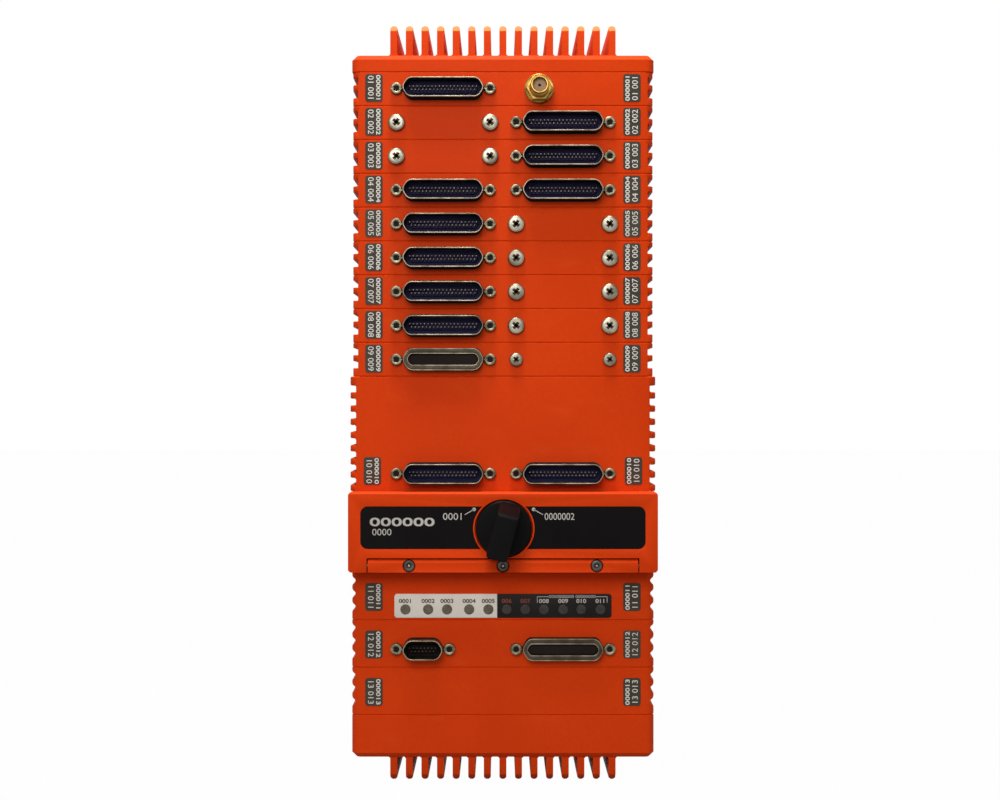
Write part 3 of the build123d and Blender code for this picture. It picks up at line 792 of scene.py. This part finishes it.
def cross_bar(radius, near, far, turn):
    """One arm pair of a cross recess, narrower at its bottom."""
    bar = brick(radius * 1.16, far - near, radius * 0.38, (0, (near + far) / 2, 0))
    with editing(bar):
        pick("FACE", lambda face: face.normal.y > 0.9)
        stretch(x=0.55, z=0.75)
    bar.rotation_euler = (0, turn, 0)
    return settle(bar)


def make_screws():
    """Screws that close the empty connector places, with painted shade: a dark piece at the bottom of
    each cross recess.
    """
    places = ((2, left_x), (3, left_x), (5, right_x), (6, right_x), (7, right_x), (8, right_x))
    recess_shades = []
    for name, radius, height, modules, node in (
        ("pan_screws", 2.93 * mm, 2.0 * mm, places, "blanking_screws"),
        ("small_pan_screws", 2.35 * mm, 1.7 * mm, ((9, right_x),), "small_blanking_screws"),
    ):
        heads = []
        for number, x in modules:
            z = middle(f"interface_module_{number}").z
            heads += [(x + side * jack_spacing / 2, front_y, z) for side in (-1, 1)]
        finished(copies(pan_screw(radius, height), heads), name, "steel", replaces=[node])
        # Painted shade: dark pieces at the bottom of each cross recess
        cross = [cross_bar(radius * 0.97, -height * 0.9, -height * 0.3, turn) for turn in cross_turns]
        recess_shades.append(copies(joined(cross), heads))
    finished(joined(recess_shades), "cross_recesses", "recess")


# Coaxial jack
def make_coaxial_jack():
    """Threaded barrel, hexagon nut, washer and core of the coaxial jack."""
    place = (12.45 * mm, front_y, middle("interface_module_1").z)

    def fitted(piece, name, finish, node):
        """Puts a piece of the jack in its place and finishes it."""
        finished(copies(piece, [place]), name, finish, replaces=[node])

    # Thread of the barrel, in millimetres: radii, pitch and the place of its first turn
    turns = 8
    crest, root = 3.175, 2.88
    pitch = 0.706
    first = -9.3
    thread = [(crest if step % 2 else root, first + step * pitch / 2) for step in range(1, 2 * turns)]
    barrel = turned([(2.3, 0), (2.3, -9.2), (2.5, -9.5), (2.85, -9.5), *thread, (2.9, 0)])
    smooth(barrel, 40)
    fitted(barrel, "threaded_barrel", "gold", "coaxial_jack_body")

    nut = cylinder(4.62 * mm, -3.1 * mm, -0.9 * mm, 6)
    nut.rotation_euler = (0, radians(30), 0)
    settle(nut)
    cut(nut, cylinder(2.97 * mm, -5 * mm, 1 * mm, 40))
    round_edges(nut, 0.22 * mm, 2, 40)
    fitted(nut, "hexagon_nut", "gold", "coaxial_nut")

    washer = turned([(2.97, 0), (2.97, -0.9), (4.5, -0.78), (4.9, -0.9), (5.1, -0.7), (5.1, 0)])
    smooth(washer, 40)
    fitted(washer, "thin_washer", "gold", "coaxial_washer")

    core = turned([(0.42, -3.0), (0.42, -7.45), (0.55, -7.6), (2.28, -7.6), (2.28, -3.0)])
    smooth(core, 40)
    fitted(core, "tan_core", "dielectric", "coaxial_insulator")
    # Painted shade: a dark pin fills the core's hole, standing for the shade inside the socket contact
    contact = cylinder(0.42 * mm, -7.3 * mm, -3.0 * mm, 16)
    fitted(contact, "core_socket", "shadow_black", "coaxial_contact")


# Labels and indicators
def make_labels():
    """Small dark plates beside each module with two rows of plain slot numbers."""
    label_x, processor_label_x = 44.35, 44.9
    raised = 0.3 * mm
    labels = [(label_x, middle(f"interface_module_{number}").z + raised) for number in slices]
    labels.append((processor_label_x, middle("port_shell_processor_left").z + 3 * raised))
    for name in ("indicator", "power", "filter"):
        labels.append((label_x, middle(name + "_housing").z - 0.23 * mm))
    places = [(side * x * mm, front_y, z) for x, z in labels for side in (-1, 1)]
    label = plate(6.0 * mm, 9.6 * mm, radius=1.0 * mm, thickness=0.14 * mm)
    finished(copies(label, places), "slot_labels", "label_plate")

    prints = []
    print_y = front_y - 0.15 * mm
    for number, (x, z) in enumerate(labels, 1):
        for side in (-1, 1):
            turn = -side * quarter_turn
            inner = (side * (x - 1.45) * mm, print_y, z)
            prints.append(digits(f"{number:06d}", 2.0 * mm, inner, turn, bold=True, widen=1.5))
            outer = (side * (x + 1.15) * mm, print_y, z)
            prints.append(digits(f"{number:02d} {number:03d}", 2.8 * mm, outer, turn, widen=1.1))
    finished(joined(prints), "label_numbers", "white_print")


def make_indicators():
    """Overlay with its numbers, the bracket over the last four lights, and the light windows."""
    light_x = [-33.5, -25.7, -19.2, -11.6, -5.0, 1.3, 7.7, 14.1, 20.7, 26.9, 33.5]
    last_on_white, last_red = 5, 7
    overlay = from_cad("indicator_plate")
    round_edges(overlay, 0.1 * mm, 2, 30)
    finished(overlay, "printed_overlay", "overlay", replaces=["indicator_plate"])

    overlay_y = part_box("indicator_plate")[0].y
    print_y = overlay_y - 0.01 * mm
    print_reach = 0.02 * mm
    light_z = middle("indicator_lights").z
    rows = {"black_print": [], "red_print": [], "pale_print": []}
    for number, x in enumerate(light_x, 1):
        on_white = number <= last_on_white
        ink = "black_print" if on_white else "red_print" if number <= last_red else "pale_print"
        place = (x * mm, print_y, light_z + 2.8 * mm)
        number_text = f"{number:04d}" if on_white else f"{number:03d}"
        rows[ink].append(digits(number_text, 1.9 * mm, place, thickness=print_reach, bold=True,
                                widen=1.2))
    place = (23.8 * mm, print_y, light_z + 4.35 * mm)
    rows["pale_print"].append(digits("0000000000 00000000", 1.45 * mm, place, thickness=print_reach,
                                     widen=1.2))
    for width, height, x, z in (
        (3.9, 0.2, 13.75, 4.35), (3.9, 0.2, 33.85, 4.35), (0.2, 2.2, 11.8, 3.35), (0.2, 2.2, 35.8, 3.35),
    ):
        place = (x * mm, print_y, light_z + z * mm)
        line = plate(width * mm, height * mm, radius=0.05 * mm, thickness=0.03 * mm, place=place)
        rows["pale_print"].append(line)
    for ink, prints in rows.items():
        finished(joined(prints), "overlay_" + ink, ink)

    window = cylinder(1.75 * mm, -0.35 * mm, 0.0, 32)
    with editing(window):
        pick_front()
        bpy.ops.mesh.bevel(affect="EDGES", offset=0.3 * mm, segments=4)
    smooth(window, 60)
    finished(copies(window, [(x * mm, overlay_y, light_z) for x in light_x]), "light_windows",
             "light_window", replaces=["indicator_lights"])


def make_panel_print():
    """Pointer dots with leader lines beside the knob, and rows of plain numbers."""
    prints = []
    knob = middle("latch_shaft")
    for side in (-1, 1):
        dot = cylinder(0.62 * mm, -0.03 * mm, 0, 20)
        prints.append(copies(dot, [(knob.x + side * 10.1 * mm, door_front_y, knob.z + 6.55 * mm)]))
        line = plate(3.6 * mm, 0.28 * mm, radius=0.05 * mm, thickness=0.03 * mm)
        line.rotation_euler = (0, side * radians(30), 0)
        line.location = (knob.x + side * 11.7 * mm, door_front_y, knob.z + 5.63 * mm)
        prints.append(settle(line))
    for text, size, x, rise, bold, widen in (
        ("0001", 3.35, -16.9, 4.0, False, 1.07),
        ("0000002", 3.35, 19.2, 4.0, False, 0.88),
        ("0000", 3.2, -41.1, -1.3, False, 1.05),
        ("000000", 3.9, -34.2, 2.1, True, 1.9),
    ):
        place = (x * mm, door_front_y, knob.z + rise * mm)
        prints.append(digits(text, size * mm, place, bold=bold, widen=widen))
    finished(joined(prints), "panel_print", "pale_print", body="door")


# Latch, hinge and tie bolts
def make_latch():
    """Knob with the edges of its skirt and bar grip rounded."""
    knob = from_cad("latch_knob")
    round_edges(knob, 0.4 * mm, 4, 28)
    finished(knob, "bar_knob", "black_knob", replaces=["latch_knob"], body="latch")


def socket_screw(radius, near, far, recess):
    """Cylinder head with a hexagon socket."""
    piece = cylinder(radius, near, far, 36)
    cut(piece, cylinder(recess, near - 1 * mm, near + 1.3 * mm, 6))
    round_edges(piece, 0.14 * mm, 2, 40)
    return piece


def make_hinge_screws():
    """Three screws of the hinge block, with a small post in the middle of each socket."""
    head_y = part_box("hinge_screws")[0].y
    z = middle("hinge_screws").z
    places = [(step * 31.9 * mm, 0, z) for step in (-1, 0, 1)]
    screw = socket_screw(1.85 * mm, head_y, head_y + 2.4 * mm, 0.95 * mm)
    finished(copies(screw, places), "hinge_socket_screws", "dark_steel",
             replaces=["hinge_screws"])
    post = cylinder(0.42 * mm, head_y + 0.1 * mm, head_y + 1.5 * mm, 16)
    round_edges(post, 0.1 * mm, 2)
    finished(copies(post, places), "hinge_screw_posts", "steel")


def make_tie_bolts():
    """Long bolts with socket heads, which lie sunk in the top cover."""
    low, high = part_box("tie_bolts")
    length = high.z - low.z
    end = length / mm
    head_radius = 3.5
    bolt = turned([(0, 0), (2.0, 0), (2.0, end - 2.8), (head_radius, end - 2.8),
                   (head_radius, end - 0.3), (3.2, end), (0, end)], 36)
    cut(bolt, cylinder(1.75 * mm, length - 1.6 * mm, length + 1 * mm, 6))
    bolt.rotation_euler = (quarter_turn, 0, 0)
    settle(bolt)
    smooth(bolt)
    inset = head_radius * mm
    x = high.x - inset
    places = [(side * x, y, low.z) for side in (-1, 1) for y in (low.y + inset, high.y - inset)]
    finished(copies(bolt, places), "tie_bolts_socketed", "steel", replaces=["tie_bolts"])


# CAD nodes that stay as they are
def dress_cad_nodes():
    """Finishes of the nodes whose solids show as they are."""
    plain = {
        "door_panel": "black_plate", "hinge_pins": "dark_steel", "latch_shaft": "steel",
        "latch_cam": "steel", "latch_nut": "steel", "interface_boards": "board",
        "processor_board": "board", "lower_boards": "board", "memory_cartridge": "cartridge",
        "memory_socket": "component", "stacking_connectors": "component",
        "power_converters": "component", "filter_cans": "nickel",
    }
    for node, finish in plain.items():
        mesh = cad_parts[node].data
        mesh.materials.clear()
        mesh.materials.append(finishes[finish])


# Stage
def make_floor():
    """Plain grey floor that looks white to the camera and in reflections, and keeps its shadow."""
    deselect()
    bpy.ops.mesh.primitive_plane_add(size=8, location=(0, 0, -0.05 * mm))
    floor = bpy.context.object
    floor.name = "floor"
    finish = Finish("pale_floor", Roughness=0.9, Specular_IOR_Level=0.0,
                    Base_Color=(0.25, 0.25, 0.25, 1))
    camera_rays = finish.node("ShaderNodeLightPath", output="Is Camera Ray")
    glossy_rays = finish.node("ShaderNodeLightPath", output="Is Glossy Ray")
    grey = Value(finish, finish.shader.outputs[0])
    white = finish.node("ShaderNodeEmission", inputs={"Strength": 1.0})
    shares = {0: (camera_rays + glossy_rays) * 0.985, 1: grey, 2: white}
    seen = finish.node("ShaderNodeMixShader", inputs=shares)
    finish.tree.links.new(seen.socket, finish.tree.nodes["Material Output"].inputs["Surface"])
    floor.data.materials.append(finish.material)


def make_world():
    """Soft light from all sides; the camera, reflections and glass see it as white."""
    world = bpy.data.worlds.new("studio")
    bpy.context.scene.world = world
    world.use_nodes = True
    tree = world.node_tree
    path = tree.nodes.new("ShaderNodeLightPath")
    either = tree.nodes.new("ShaderNodeMath")
    either.operation = "ADD"
    tree.links.new(path.outputs["Is Glossy Ray"], either.inputs[0])
    tree.links.new(path.outputs["Is Transmission Ray"], either.inputs[1])
    seen = tree.nodes.new("ShaderNodeMath")
    seen.operation = "ADD"
    seen.use_clamp = True
    tree.links.new(path.outputs["Is Camera Ray"], seen.inputs[0])
    tree.links.new(either.outputs[0], seen.inputs[1])
    strength = tree.nodes.new("ShaderNodeMapRange")
    strength.inputs["To Min"].default_value = 0.40
    strength.inputs["To Max"].default_value = 1.0
    tree.links.new(seen.outputs[0], strength.inputs["Value"])
    background = tree.nodes["Background"]
    background.inputs["Color"].default_value = (1, 1, 1, 1)
    tree.links.new(strength.outputs[0], background.inputs["Strength"])


def held(data, place):
    """Object of a lamp or camera at a place."""
    holder = bpy.data.objects.new(data.name, data)
    bpy.context.scene.collection.objects.link(holder)
    holder.location = place
    return holder


def make_lamps():
    """Two square soft lamps, each turned to its target."""
    for name, place, target, size, power in (
        ("front_key", (-0.12, -0.75, 0.48), (0, 0, 0.19), 0.4, 3.5),
        ("top_softbox", (-0.03, -0.14, 0.80), (0, 0, 0.25), 0.25, 7.0),
    ):
        lamp = bpy.data.lights.new(name, "AREA")
        lamp.size = size
        lamp.energy = power
        away = Vector(place) - Vector(target)
        held(lamp, place).rotation_euler = away.to_track_quat("Z", "Y").to_euler()


def make_camera():
    """Level camera straight in front, at the height and distance of the photograph's."""
    camera = bpy.data.cameras.new("camera")
    camera.lens = 64.3
    camera.sensor_width = 36.0
    holder = held(camera, (-1.0 * mm, -672.5 * mm, 131.14 * mm))
    holder.rotation_euler = facing_front
    bpy.context.scene.camera = holder
    bpy.context.scene.view_settings.view_transform = "Standard"


make_floor()
make_world()
make_lamps()
make_camera()
make_housings()
make_covers()
make_door()
make_ports()
make_screws()
make_coaxial_jack()
make_labels()
make_indicators()
make_panel_print()
make_latch()
make_hinge_screws()
make_tie_bolts()
dress_cad_nodes()
